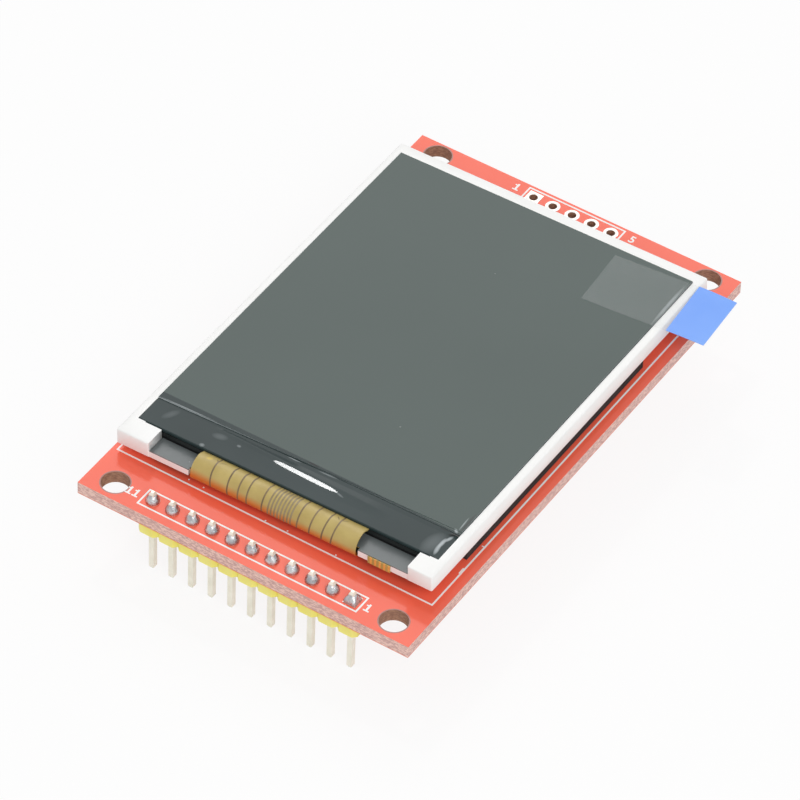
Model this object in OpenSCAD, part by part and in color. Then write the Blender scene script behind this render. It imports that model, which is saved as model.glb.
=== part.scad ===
// TFT display module: a circuit board with a pin header and a card socket, and an LCD panel taped on top.
// Millimetres. +Z is up through the display, +X runs along the header towards pin 1,
// and +Y runs towards the card header.
// The origin is the centre of the four mounting holes, on the board's underside.

/* [Panel] */
// Width of the white backlight frame
panel_w = 40.1; // [38:0.1:60]
// Length of the backlight frame
panel_l = 55.3; // [44:0.1:90]
// Height of the frame's rim and lugs
panel_h = 2.05; // [2:0.05:3.5]
// How far the panel sits left of the board's middle
panel_shift = 0.5; // [0:0.1:0.8]
// Height of the foam tape under the panel's middle
panel_gap = 1.25; // [1.1:0.05:2]
// Angle by which the foam tape lifts the panel's right side
panel_roll = 1.3; // [0:0.1:1.5]

/* [Backlight frame] */
// Width of the rim along each side
side_rim = 0.95; // [0.6:0.05:1.5]
// Width of the rim at the far end
far_rim = 1.5; // [0.8:0.1:3]
// Depth of the open ledge in front of the glass
ledge = 2.7; // [2.2:0.1:4]
// Width of the lug at the front left corner
left_lug = 4.1; // [2:0.1:6]
// Width of the lug at the front right corner
right_lug = 3.1; // [2:0.1:4]
// How far the lugs stand proud of the thin wall between them
lug_proud = 0.15; // [0.05:0.05:0.5]
// Thickness of the thin front wall
front_wall = 0.4; // [0.3:0.05:0.6]
// Width of the step that carries the glass
seat_w = 1.0; // [0.6:0.1:1.6]

/* [Backlight films] */
// Thickness of the reflector sheet
reflector_t = 0.1; // [0.05:0.01:0.2]
// Thickness of the light guide
guide_t = 0.55; // [0.5:0.05:1]
// Thickness of the diffuser and of each prism sheet
film_t = 0.07; // [0.05:0.01:0.1]
// Height of a light-emitting diode
led_h = 0.6; // [0.4:0.05:0.62]
// Thickness of the light bar's flex
led_flex_t = 0.08; // [0.05:0.01:0.1]
// Width of the flex tail over the front wall
led_tail_w = 2.8; // [2:0.1:4]

/* [Glass cell] */
// Thickness of each polarizer
polarizer_t = 0.13; // [0.1:0.01:0.2]
// Thickness of the rear glass
tft_t = 0.55; // [0.3:0.05:0.7]
// Thickness of the front glass
filter_t = 0.45; // [0.4:0.05:0.7]
// Depth of the driver ledge on the rear glass
driver_ledge = 3.95; // [3.6:0.05:6]
// Length of the driver chip
driver_l = 18; // [10:0.5:24]
// Height of the driver chip
driver_h = 0.25; // [0.18:0.01:0.3]
// Thickness of the protective film
film_cover_t = 0.05; // [0.03:0.01:0.1]
// Width of the display flex
flex_w = 21; // [16:0.5:24]
// Thickness of the display flex
flex_t = 0.12; // [0.08:0.01:0.15]

/* [Circuit board] */
// Board left free in front of the panel, for the header
header_margin = 6.6; // [6:0.1:12]
// Board left free behind the panel, for the card header
card_margin = 5.1; // [4.6:0.1:12]
// Board showing on each side of a centred panel
side_margin = 0.95; // [0.9:0.05:6]
// Thickness of the board
board_t = 1.6; // [0.8:0.1:2]
// Diameter of the mounting holes
hole_d = 3.2; // [2.2:0.1:3.3]
// Hole centre to the board's side edge
hole_side = 3.3; // [2.5:0.1:3.3]
// Hole centre to the header edge, which is also the header's row
hole_near = 2.3; // [2.2:0.1:3]
// Hole centre to the card header edge
hole_far = 1.9; // [1.9:0.1:3]
// Card header row to its edge
card_row = 1.6; // [1.4:0.1:2]

/* [Pin header] */
// Side of a square pin
pin_w = 0.64; // [0.5:0.02:0.66]
// Pin length below the moulding
pin_below = 6; // [3:0.5:12]
// Pin length above the moulding, through the board
pin_above = 3; // [2.8:0.1:5]
// Height of the header moulding
header_h = 2.5; // [1.5:0.1:3]
// Diameter of the plated header holes
pin_hole_d = 1; // [0.96:0.02:1.1]
// Height of a solder cone above the board
solder_h = 0.95; // [0.5:0.05:1.1]

/* [Card socket] */
// Width of the socket
socket_w = 27; // [26.6:0.1:28]
// Depth of the socket
socket_l = 26; // [24:0.5:28]
// Height of the socket
socket_h = 2.9; // [2.8:0.1:3.6]
// Socket mouth to the board's far edge
socket_inset = 3.9; // [3.4:0.1:8]
// Thickness of the steel shell
shell_t = 0.25; // [0.2:0.05:0.3]

/* [Hidden] */
PIN_COUNT = 11;
CARD_PINS = 5;
LED_COUNT = 4;
CONTACTS = 9;
PITCH = 2.54;
SLIP = 0.05;
HAIR = 0.01;
$fn = 48;

pin_names = [for (i = [1:PIN_COUNT]) str("header_pin_", i)];
solder_names = [for (i = [1:PIN_COUNT]) str("header_solder_", i)];
led_names = [for (i = [1:LED_COUNT]) str("led_", i)];

// Board outline and rows
board_w = panel_w + 2 * side_margin;
board_l = header_margin + panel_l + card_margin;
hole_x = board_w / 2 - hole_side;
hole_y = (board_l - hole_near - hole_far) / 2;
board_near = -hole_y - hole_near;
board_far = hole_y + hole_far;
header_y = -hole_y;
header_x = -0.15;
card_x = -0.05;
card_y = board_far - card_row;

// The panel's own frame: its origin is the middle of the frame's underside
panel_x = -panel_shift;
panel_y = board_near + header_margin + panel_l / 2;
panel_z = board_t + panel_gap;
front = -panel_l / 2;
back = panel_l / 2;
side = panel_w / 2;

// Levels in the panel's frame
guide_z = reflector_t;
diffuser_z = guide_z + guide_t;
films_top = diffuser_z + 3 * film_t;
rim_tape_t = 0.1;
tft_z = films_top + SLIP + polarizer_t;
seat_z = tft_z - rim_tape_t;
filter_z = tft_z + tft_t;
polarizer_z = filter_z + filter_t;
film_z = polarizer_z + polarizer_t;
film_top = film_z + film_cover_t;

// The glass cell's edges
cell_x = side - side_rim - SLIP;
tft_front = front + ledge;
cell_back = back - far_rim - SLIP;
filter_front = tft_front + driver_ledge;
polarizer_front = filter_front + 0.2;

// The pocket under the cell, and the light bar at its front
pocket_x = side - side_rim - seat_w;
pocket_front = front + lug_proud + front_wall;
pocket_back = back - far_rim - seat_w;
led_w = 3.8;
led_d = 0.8;
led_pitch = 8.4;
led_y = pocket_front + SLIP;
led_tape_t = 0.1;
led_flex_z = guide_z + led_h;
led_tape_z = led_flex_z + led_flex_t;
light_bar_back = tft_front - 0.1;
guide_front = led_y + led_d + SLIP;
film_front = light_bar_back + SLIP;
bar_left = -side + left_lug + SLIP;
bar_right = side - right_lug - SLIP;
led_tail_x = 12;
led_tail_back = 3;
led_notch_x = led_tail_x - 2 * SLIP;
led_notch_w = led_tail_w + 4 * SLIP;

// The driver chip on the rear glass
chip_y = tft_front + 2.05;
chip_w = 1;

// The display flex: a flat bond, a rise, a wide quarter turn over the light bar, a tight one under it,
// and a tail that comes down onto the board
flex_x = -0.1;
flex_bond = 1.05;
flex_rise = 0.3;
flex_reach = ledge - SLIP;
flex_over_r = 1.7;
flex_under_r = 0.7;
flex_tail = 4;
flex_flat = 1.4;
flex_seat = 0.05;
flex_joints = 20;
flex_gap_left = flex_x - flex_w / 2 - 0.3;
flex_gap_right = flex_x + flex_w / 2 + 0.3;

// The tab's tape lies on the film, turned a little from the panel's edge
tab_turn = 4;
tab_w = 8;
tab_reach = 15;
tab_blue = 4.6;
tab_t = 0.06;
tab_start = [cell_x - 8.7, cell_back - 9.1];

foam_w = 3.6;
foam_inset = 0.4;
foam_front = 7.4;
foam_l = panel_l - 20;

// Places a piece of the panel in the board's frame
module on_panel() {
    translate([panel_x, panel_y, panel_z])
        rotate([0, -panel_roll, 0])
            children();
}

function to_board(p) = [
    panel_x + p[0] * cos(panel_roll) - p[2] * sin(panel_roll),
    panel_y + p[1],
    panel_z + p[0] * sin(panel_roll) + p[2] * cos(panel_roll)
];

// Height of the frame's tilted underside above the board's underside
function underside(x) = panel_z + (x - panel_x) * tan(panel_roll) - HAIR;

module block(low, high) {
    translate(low)
        cube(high - low);
}

// A profile in Y and Z, given a length along X
module bar(x0, x1) {
    translate([x0, 0, 0])
        rotate([90, 0, 90])
            linear_extrude(x1 - x0)
                children();
}

function pin_x(i) = header_x + ((PIN_COUNT + 1) / 2 - i) * PITCH;

module circuit_board() {
    color([0.86, 0.2, 0.15])
        difference() {
            block([-board_w / 2, board_near, 0], [board_w / 2, board_far, board_t]);
            for (x = [-hole_x, hole_x], y = [-hole_y, hole_y])
                translate([x, y, -1])
                    cylinder(d = hole_d, h = board_t + 2);
            for (i = [1:PIN_COUNT])
                translate([pin_x(i), header_y, -1])
                    cylinder(d = pin_hole_d, h = board_t + 2);
            for (i = [1:CARD_PINS])
                translate([card_x + (i - (CARD_PINS + 1) / 2) * PITCH, card_y, -1])
                    cylinder(d = pin_hole_d, h = board_t + 2);
        }
}

// One cell of the moulding: a square with cut corners, so that the cells show along the row
module header_cell() {
    cell = PITCH / 2;
    cut = 0.45;
    polygon([
        [-cell, -cell + cut], [-cell + cut, -cell], [cell - cut, -cell], [cell, -cell + cut],
        [cell, cell - cut], [cell - cut, cell], [-cell + cut, cell], [-cell, cell - cut]
    ]);
}

module header_insulator() {
    bore = pin_w + 2 * HAIR;
    color([0.98, 0.86, 0.15])
        translate([0, header_y, -header_h])
            linear_extrude(header_h)
                difference() {
                    for (i = [1:PIN_COUNT])
                        translate([pin_x(i), 0])
                            header_cell();
                    for (i = [1:PIN_COUNT])
                        translate([pin_x(i), 0])
                            square(bore, center = true);
                }
}

// The side view of a pin: its ends are drawn in to a blunt tip
module pin_side() {
    tip = 0.3;
    low = -header_h - pin_below;
    w = pin_w / 2;
    polygon([
        [-w * 0.5, low], [w * 0.5, low], [w, low + tip], [w, pin_above - tip],
        [w * 0.5, pin_above], [-w * 0.5, pin_above], [-w, pin_above - tip], [-w, low + tip]
    ]);
}

module header_pin(i) {
    color([0.86, 0.82, 0.66])
        translate([pin_x(i), header_y, 0])
            intersection() {
                translate([0, pin_w / 2, 0])
                    rotate([90, 0, 0])
                        linear_extrude(pin_w)
                            pin_side();
                translate([-pin_w / 2, 0, 0])
                    rotate([90, 0, 90])
                        linear_extrude(pin_w)
                            pin_side();
            }
}

// The joint fills the plated hole round the pin and rises in a cone on the pad
module header_solder(i) {
    foot_r = 0.8;
    neck_r = 0.5;
    bore = pin_w + 2 * HAIR;
    color([0.78, 0.79, 0.8])
        translate([pin_x(i), header_y, 0])
            difference() {
                rotate_extrude()
                    polygon([
                        [0, 0], [pin_hole_d / 2 - HAIR, 0], [pin_hole_d / 2 - HAIR, board_t],
                        [foot_r, board_t], [foot_r * 0.78, board_t + solder_h * 0.35],
                        [neck_r, board_t + solder_h], [0, board_t + solder_h]
                    ]);
                translate([-bore / 2, -bore / 2, -1])
                    cube([bore, bore, board_t + solder_h + 2]);
            }
}

module backlight_frame() {
    lug_left = -side + left_lug;
    lug_right = side - right_lug;
    above = panel_h + 1;
    color([0.96, 0.96, 0.94])
        on_panel()
            difference() {
                block([-side, front, 0], [side, back, panel_h]);
                // Front recess between the lugs
                block([lug_left, front - 1, -1], [lug_right, front + lug_proud, above]);
                block([lug_left, front - 1, led_tape_z], [lug_right, tft_front, above]);
                // Seat for the cell
                block(
                    [-cell_x - SLIP, tft_front - SLIP, seat_z],
                    [cell_x + SLIP, cell_back + SLIP, above]
                );
                // Pocket for the light guide and the films
                block([-pocket_x, light_bar_back - SLIP, -1], [pocket_x, pocket_back, above]);
                // Pocket for the light bar
                block([bar_left - SLIP, pocket_front, -1], [bar_right + SLIP, tft_front, above]);
                // Gap in the front wall for the display flex
                block([flex_gap_left, front - 1, -1], [flex_gap_right, led_y, panel_h]);
                // Notch for the light bar's tail
                block(
                    [led_notch_x, front - 1, led_flex_z],
                    [led_notch_x + led_notch_w, tft_front, panel_h]
                );
            }
}

module reflector_sheet() {
    color([0.93, 0.94, 0.95])
        on_panel() {
            block([-pocket_x + SLIP, light_bar_back, 0], [pocket_x - SLIP, pocket_back - SLIP, reflector_t]);
            block([bar_left, led_y, 0], [bar_right, light_bar_back, reflector_t]);
        }
}

module light_guide() {
    color([0.85, 0.92, 0.95, 0.6])
        on_panel() {
            block(
                [-pocket_x + SLIP, light_bar_back, guide_z],
                [pocket_x - SLIP, pocket_back - SLIP, diffuser_z]
            );
            block([bar_left, guide_front, guide_z], [bar_right, light_bar_back, diffuser_z]);
        }
}

module film(level) {
    block([-pocket_x + SLIP, film_front, level], [pocket_x - SLIP, pocket_back - SLIP, level + film_t]);
}

module diffuser_sheet() {
    color([0.9, 0.92, 0.93])
        on_panel()
            film(diffuser_z);
}

module lower_prism_sheet() {
    color([0.8, 0.85, 0.88])
        on_panel()
            film(diffuser_z + film_t);
}

module upper_prism_sheet() {
    color([0.75, 0.8, 0.85])
        on_panel()
            film(diffuser_z + 2 * film_t);
}

module led(i) {
    x = (i - (LED_COUNT + 1) / 2) * led_pitch;
    color([0.95, 0.9, 0.6])
        on_panel()
            block([x - led_w / 2, led_y, guide_z], [x + led_w / 2, led_y + led_d, guide_z + led_h]);
}

// The flex lies on the diodes, and its tail runs over the wall, down it and back under the frame
module led_flex() {
    t = led_flex_t;
    wall = front + lug_proud - SLIP;
    under = front + led_tail_back;
    color([0.8, 0.55, 0.2])
        on_panel() {
            block([bar_left, led_y, led_flex_z], [bar_right, light_bar_back, led_tape_z]);
            bar(led_tail_x, led_tail_x + led_tail_w)
                polygon([
                    [led_y, led_flex_z], [led_y, led_tape_z], [wall - t, led_tape_z], [wall - t, -SLIP - t],
                    [under, -SLIP - t], [under, -SLIP], [wall, -SLIP], [wall, led_flex_z]
                ]);
        }
}

module led_tape() {
    color([0.24, 0.25, 0.26])
        on_panel()
            difference() {
                block(
                    [bar_left, front + lug_proud, led_tape_z],
                    [bar_right, light_bar_back, led_tape_z + led_tape_t]
                );
                block([flex_gap_left, front - 1, led_tape_z - 1], [flex_gap_right, led_y, led_tape_z + 1]);
            }
}

module rim_tape() {
    inner = pocket_x + SLIP;
    color([0.1, 0.1, 0.1])
        on_panel()
            difference() {
                block([-cell_x, tft_front, seat_z], [cell_x, cell_back, tft_z]);
                block([-inner, tft_front - 1, seat_z - 1], [inner, pocket_back + SLIP, tft_z + 1]);
            }
}

module rear_polarizer() {
    color([0.35, 0.36, 0.35])
        on_panel()
            block([-pocket_x, polarizer_front, tft_z - polarizer_t], [pocket_x, pocket_back, tft_z]);
}

module tft_glass() {
    color([0.6, 0.66, 0.66])
        on_panel()
            block([-cell_x, tft_front, tft_z], [cell_x, cell_back, filter_z]);
}

module driver_ic() {
    color([0.3, 0.3, 0.33])
        on_panel()
            block(
                [-driver_l / 2, chip_y - chip_w / 2, filter_z],
                [driver_l / 2, chip_y + chip_w / 2, filter_z + driver_h]
            );
}

module colour_filter_glass() {
    color([0.55, 0.6, 0.6])
        on_panel()
            block([-cell_x, filter_front, filter_z], [cell_x, cell_back, polarizer_z]);
}

module front_polarizer() {
    color([0.42, 0.45, 0.44])
        on_panel()
            block([-cell_x, polarizer_front, polarizer_z], [cell_x, cell_back, film_z]);
}

module protective_film() {
    color([0.44, 0.47, 0.46])
        on_panel()
            block([-cell_x, polarizer_front, film_z], [cell_x, cell_back, film_top]);
}

// Foam-backed tape from the front glass to the ledge's edge, lifted over the driver chip
module cover_tape() {
    low = filter_z + flex_t;
    over = filter_z + driver_h;
    top = polarizer_z;
    lift_in = chip_w / 2 + 0.1;
    lift_out = lift_in + 0.2;
    crest = 0.3;
    slope = 1;
    color([0.28, 0.31, 0.31])
        on_panel()
            bar(-cell_x, cell_x)
                polygon([
                    [tft_front, low], [chip_y - lift_out, low], [chip_y - lift_in, over],
                    [chip_y + lift_in, over], [chip_y + lift_out, low], [filter_front, low],
                    [filter_front, top], [polarizer_front, top], [polarizer_front, top + 0.06],
                    [chip_y + slope, top + 0.04], [chip_y + crest, top + 0.1], [chip_y - crest, top + 0.1],
                    [chip_y - slope, top + 0.02], [tft_front, top - 0.02]
                ]);
}

function smooth(u) = u * u * (3 - 2 * u);

// The flex's middle line in the panel's frame, as far as the end of its turn
flex_z = filter_z + flex_t / 2;
flex_y = tft_front - flex_reach + flex_t / 2;
flex_turn_z = flex_z + flex_rise - flex_over_r;
flex_middle = concat(
    [[tft_front + flex_bond, flex_z], [tft_front, flex_z]],
    [for (u = [0.25:0.25:1]) [tft_front - u * (flex_reach - flex_over_r), flex_z + flex_rise * smooth(u)]],
    [for (a = [9:9:90]) [flex_y + flex_over_r * (1 - sin(a)), flex_turn_z + flex_over_r * cos(a)]],
    [for (a = [15:15:90]) [flex_y + flex_under_r * (1 - cos(a)), flex_turn_z - flex_under_r * sin(a)]]
);

// The same line at one side of the flex in the board's frame, with the tail, which ends flat on the board
function flex_side(x) =
    let (bent = [for (p = flex_middle) to_board([x, p[0], p[1]])])
    let (turn = bent[len(bent) - 1])
    let (rest = board_t + flex_seat + flex_t / 2)
    concat(
        bent,
        [for (u = [0.2:0.2:1]) [turn[0], turn[1] + u * flex_tail, turn[2] + (rest - turn[2]) * smooth(u)]],
        [[turn[0], turn[1] + flex_tail + flex_flat, rest]]
    );

// A point of that line, moved square to the line in Y and Z
function beside(line, i, out) =
    let (a = line[max(i - 1, 0)], b = line[min(i + 1, len(line) - 1)])
    let (along = [0, b[1] - a[1], b[2] - a[2]] / norm([b[1] - a[1], b[2] - a[2]]))
    line[i] + out * [0, along[2], -along[1]];

flex_left = flex_side(flex_x - flex_w / 2);
flex_right = flex_side(flex_x + flex_w / 2);
flex_tail_end = flex_left[len(flex_left) - 1];
flex_rings = [
    for (i = [0:len(flex_left) - 1]) [
        beside(flex_left, i, flex_t / 2),
        beside(flex_right, i, flex_t / 2),
        beside(flex_right, i, -flex_t / 2),
        beside(flex_left, i, -flex_t / 2)
    ]
];

// A closed skin over rings of four points
module skin(rings) {
    last = 4 * (len(rings) - 1);
    points = [for (ring = rings) for (p = ring) p];
    sides = [
        for (i = [0:len(rings) - 2])
            for (k = [0:3])
                let (a = 4 * i + k, b = 4 * i + (k + 1) % 4)
                    each [[a, b, b + 4], [a, b + 4, a + 4]]
    ];
    polyhedron(points, concat(sides, [[3, 2, 1, 0], [last, last + 1, last + 2, last + 3]]));
}

module display_flex() {
    color([0.78, 0.62, 0.3])
        skin(flex_rings);
}

// A joint under and in front of each conductor at the tail's end
module flex_solder() {
    tail_end = flex_tail_end[1];
    joint_pitch = (flex_w - 1) / (flex_joints - 1);
    left = flex_tail_end[0] + 0.5;
    color([0.78, 0.79, 0.8])
        for (i = [0:flex_joints - 1]) {
            x = left + i * joint_pitch;
            block([x - 0.3, tail_end - 0.8, board_t], [x + 0.3, tail_end + 0.6, board_t + flex_seat]);
            block([x - 0.3, tail_end, board_t], [x + 0.3, tail_end + 0.4, board_t + flex_seat + flex_t]);
        }
}

// Clear tape stuck to the film, carrying the tab
module tab_tape() {
    color([0.7, 0.75, 0.76, 0.5])
        on_panel()
            translate([tab_start[0], tab_start[1], film_top])
                rotate([0, 0, tab_turn])
                    cube([tab_reach, tab_w, tab_t]);
}

module pull_tab() {
    color([0.45, 0.62, 0.98])
        on_panel()
            translate([tab_start[0], tab_start[1], film_top + tab_t])
                rotate([0, 0, tab_turn])
                    translate([tab_reach - tab_blue, 0, 0])
                        cube([tab_blue, tab_w, tab_t]);
}

// Foam from the board up to the frame's tilted underside
module foam_tape(x0, x1) {
    y0 = board_near + header_margin + foam_front;
    color([0.1, 0.1, 0.1])
        translate([0, y0 + foam_l, 0])
            rotate([90, 0, 0])
                linear_extrude(foam_l)
                    polygon([[x0, board_t], [x1, board_t], [x1, underside(x1)], [x0, underside(x0)]]);
}

module foam_tape_left() {
    x0 = panel_x - side + foam_inset;
    foam_tape(x0, x0 + foam_w);
}

module foam_tape_right() {
    x1 = panel_x + side - foam_inset;
    foam_tape(x1 - foam_w, x1);
}

// Small parts under the board, in a row behind the header
chips_y = header_y + 9;
regulator_x = -12.5;
transistor_x = 9;

// The card socket hangs under the board, with its mouth towards the far edge
mouth = board_far - socket_inset;
heel = mouth - socket_l;
socket_floor = 0.45;
tray_x = socket_w / 2 - shell_t - SLIP;
tray_h = socket_h - shell_t - SLIP;
rail_w = 1;
heel_wall = 3;
contact_w = 0.7;
contact_t = 0.15;
contact_pitch = 2.5;

function contact_x(i) = (i - (CONTACTS + 1) / 2) * contact_pitch;

module sd_socket_base() {
    groove = contact_w + 4 * SLIP;
    color([0.13, 0.13, 0.14])
        difference() {
            block([-tray_x, heel, -tray_h], [tray_x, mouth, 0]);
            block(
                [-tray_x + rail_w, heel + heel_wall, -tray_h - 1],
                [tray_x - rail_w, mouth + 1, -socket_floor]
            );
            for (i = [1:CONTACTS])
                block(
                    [contact_x(i) - groove / 2, heel - 1, -socket_floor - contact_t - 2 * SLIP],
                    [contact_x(i) + groove / 2, heel + heel_wall + 1, -socket_floor]
                );
        }
}

// A folded steel cover: top, two sides and four feet on the board
module sd_socket_shell() {
    w = socket_w / 2;
    foot = 1;
    foot_l = 2.4;
    spring_x = 8;
    spring_w = 2;
    spring_l = 7;
    spring_y = heel + 10;
    slot = 0.3;
    color([0.8, 0.81, 0.82])
        difference() {
            union() {
                difference() {
                    block([-w, heel, -socket_h], [w, mouth, 0]);
                    block([-w + shell_t, heel - 1, -socket_h + shell_t], [w - shell_t, mouth + 1, 1]);
                }
                for (s = [-1, 1], y = [heel + 1, mouth - 1 - foot_l])
                    translate([s * (w + foot / 2), y + foot_l / 2, -shell_t / 2])
                        cube([foot + 2 * HAIR, foot_l, shell_t], center = true);
            }
            // Slots that free the two springs which press on the card
            for (s = [-1, 1]) {
                for (e = [-1, 1])
                    translate([s * spring_x + e * spring_w / 2, spring_y, -socket_h])
                        cube([slot, spring_l, 3 * shell_t], center = true);
                translate([s * spring_x, spring_y + (spring_l + slot) / 2 - HAIR, -socket_h])
                    cube([spring_w + slot, slot, 3 * shell_t], center = true);
            }
        }
}

// Spring contacts: a tail on the board, a riser up the heel and a bent blade along the floor
module sd_contacts() {
    t = contact_t;
    z = -socket_floor;
    y = heel + heel_wall;
    color([0.83, 0.72, 0.42])
        for (i = [1:CONTACTS])
            bar(contact_x(i) - contact_w / 2, contact_x(i) + contact_w / 2)
                polygon([
                    [heel - 1.5, 0], [heel - 1.5, -t], [heel - t - SLIP, -t], [heel - t - SLIP, z - t],
                    [y + 0.4, z - t], [y + 3.5, z - t - 0.8], [y + 4.5, z - t - 0.5], [y + 4.5, z - 0.5],
                    [y + 3.5, z - 0.8], [y + 0.4, z], [heel - SLIP, z], [heel - SLIP, 0]
                ]);
}

// A small moulded part with metal leads, hanging under the board
module moulded_chip(place, body, leads) {
    lift = 0.1;
    lead_t = 0.2;
    translate([place[0], place[1], 0]) {
        block([-body[0] / 2, -body[1] / 2, -lift - body[2]], [body[0] / 2, body[1] / 2, -lift]);
        for (lead = leads)
            translate([lead[0], lead[1], -lead_t / 2])
                cube([lead[2], lead[3], lead_t], center = true);
    }
}

module regulator() {
    legs = [for (x = [-1.5, 0, 1.5]) [x, -1.5, 0.5, 1.2]];
    tab = [0, 1.6, 1.8, 1];
    color([0.15, 0.15, 0.16])
        moulded_chip([regulator_x, chips_y], [4.5, 2.5, 1.5], concat(legs, [tab]));
}

module transistor() {
    pair = [for (x = [-0.95, 0.95]) [x, -0.95, 0.45, 0.9]];
    single = [0, 0.95, 0.45, 0.9];
    color([0.15, 0.15, 0.16])
        moulded_chip([transistor_x, chips_y], [2.9, 1.3, 1], concat(pair, [single]));
}

// A ceramic chip: its two end caps are a hair larger than its body
module ceramic_chip(place, size) {
    cap = 0.35;
    lip = 0.03;
    x = size[0] / 2;
    y = size[1] / 2;
    z = size[2];
    translate([place[0], place[1], 0]) {
        block([-x + cap, -y + lip, -z + lip], [x - cap, y - lip, -lip]);
        block([-x, -y, -z], [-x + cap, y, 0]);
        block([x - cap, -y, -z], [x, y, 0]);
    }
}

module capacitor(i) {
    color([0.62, 0.47, 0.3])
        ceramic_chip([regulator_x + (i - 1.5) * 10.5, chips_y + 3.7 - i], [2, 1.25, 0.9]);
}

module resistor(i) {
    color([0.1, 0.1, 0.12])
        ceramic_chip([transistor_x - 6 + (i - 1.5) * 3.5, chips_y], [1.6, 0.8, 0.5]);
}

circuit_board();
header_insulator();
for (i = [1:PIN_COUNT]) {
    header_pin(i);
    header_solder(i);
}
backlight_frame();
reflector_sheet();
light_guide();
diffuser_sheet();
lower_prism_sheet();
upper_prism_sheet();
for (i = [1:LED_COUNT]) {
    led(i);
}
led_flex();
led_tape();
rim_tape();
rear_polarizer();
tft_glass();
driver_ic();
colour_filter_glass();
front_polarizer();
protective_film();
cover_tape();
display_flex();
flex_solder();
tab_tape();
pull_tab();
foam_tape_left();
foam_tape_right();
sd_socket_base();
sd_socket_shell();
sd_contacts();
regulator();
transistor();
capacitor(1);  // capacitor_1
capacitor(2);  // capacitor_2
resistor(1);  // resistor_1
resistor(2);  // resistor_2
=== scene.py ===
import math

import bpy
from mathutils import Matrix, Vector


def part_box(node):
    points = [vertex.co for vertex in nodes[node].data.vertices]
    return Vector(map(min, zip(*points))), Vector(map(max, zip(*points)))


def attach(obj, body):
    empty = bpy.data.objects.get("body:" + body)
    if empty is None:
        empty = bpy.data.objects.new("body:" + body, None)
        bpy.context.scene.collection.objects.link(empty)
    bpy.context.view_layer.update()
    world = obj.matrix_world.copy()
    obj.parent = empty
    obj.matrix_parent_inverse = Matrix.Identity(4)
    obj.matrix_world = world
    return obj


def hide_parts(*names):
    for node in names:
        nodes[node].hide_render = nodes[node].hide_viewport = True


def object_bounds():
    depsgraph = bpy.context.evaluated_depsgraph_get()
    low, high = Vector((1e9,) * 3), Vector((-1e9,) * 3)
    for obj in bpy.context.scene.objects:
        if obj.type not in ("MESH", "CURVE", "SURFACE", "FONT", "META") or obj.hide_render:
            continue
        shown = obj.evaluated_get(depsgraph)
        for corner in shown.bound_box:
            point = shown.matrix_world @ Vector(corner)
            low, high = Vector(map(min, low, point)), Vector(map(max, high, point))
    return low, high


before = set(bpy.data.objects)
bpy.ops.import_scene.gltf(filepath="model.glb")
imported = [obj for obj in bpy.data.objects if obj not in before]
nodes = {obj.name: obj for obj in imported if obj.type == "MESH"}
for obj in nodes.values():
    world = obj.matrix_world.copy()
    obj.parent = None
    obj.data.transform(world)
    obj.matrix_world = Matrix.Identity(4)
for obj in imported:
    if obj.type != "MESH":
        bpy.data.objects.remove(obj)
cad_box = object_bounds()


# The studio: a long lens at the front right corner, a broad softbox behind the display that the flat
# surfaces mirror, another at the front, a small bright lamp for the tape's ridge, and a pale floor.
mm = 0.001
scene = bpy.context.scene
scene.view_settings.view_transform = "Standard"

sensor_width = 36
focal_ratio = 6056.8 / 800
camera_data = bpy.data.cameras.new("camera")
camera_data.sensor_width = sensor_width
camera_data.lens = sensor_width * focal_ratio
camera_data.clip_start = 0.05
camera_data.clip_end = 20
camera = bpy.data.objects.new("camera", camera_data)
scene.collection.objects.link(camera)
camera_right = Vector((0.83554, 0.54873, 0.02780))
camera_up = Vector((-0.40241, 0.57672, 0.71096))
camera_back = camera_right.cross(camera_up)
camera_place = (244.62 * mm, -399.02 * mm, 460.56 * mm)
camera.matrix_world = Matrix((
    (camera_right[0], camera_up[0], camera_back[0], camera_place[0]),
    (camera_right[1], camera_up[1], camera_back[1], camera_place[1]),
    (camera_right[2], camera_up[2], camera_back[2], camera_place[2]),
    (0, 0, 0, 1),
))
scene.camera = camera


def softbox(name, towards, distance, width, height, radiance):
    """An area lamp that faces the module; radiance is what a mirror would show of it."""
    data = bpy.data.lights.new(name, "AREA")
    data.shape = "RECTANGLE"
    data.size = width
    data.size_y = height
    data.energy = radiance * math.pi * width * height
    lamp = bpy.data.objects.new(name, data)
    scene.collection.objects.link(lamp)
    direction = Vector(towards).normalized()
    lamp.location = direction * distance
    lamp.rotation_euler = direction.to_track_quat("Z", "Y").to_euler()


mirrored = Vector((-camera_back[0], -camera_back[1], camera_back[2]))
lamp_distance = 0.8
softbox("back_softbox", mirrored, lamp_distance, 0.46, 0.46, 1.8)
softbox("front_softbox", (0.85, -0.75, 1.0), lamp_distance, 0.5, 0.5, 3.1)
softbox("ridge_light", (-0.410, 0.270, 0.872), lamp_distance, 0.06, 0.06, 52)


def add(tree, kind, **settings):
    """A new shader node with its settings."""
    node = tree.nodes.new(kind)
    for name, value in settings.items():
        setattr(node, name, value)
    return node


def work_out(tree, operation, a, b=0):
    """A Math node on two values, each a number or another node's output."""
    node = add(tree, "ShaderNodeMath", operation=operation)
    for socket, value in zip(node.inputs, (a, b)):
        if isinstance(value, (int, float)):
            socket.default_value = value
        else:
            tree.links.new(value, socket)
    return node.outputs[0]


def carried(tree, value, start=(0, 1), end=(0, 1)):
    """The value carried from its range at the start onto another range."""
    node = add(tree, "ShaderNodeMapRange")
    for name, limit in zip(("From Min", "From Max", "To Min", "To Max"), (*start, *end)):
        node.inputs[name].default_value = limit
    tree.links.new(value, node.inputs["Value"])
    return node.outputs["Result"]


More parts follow.
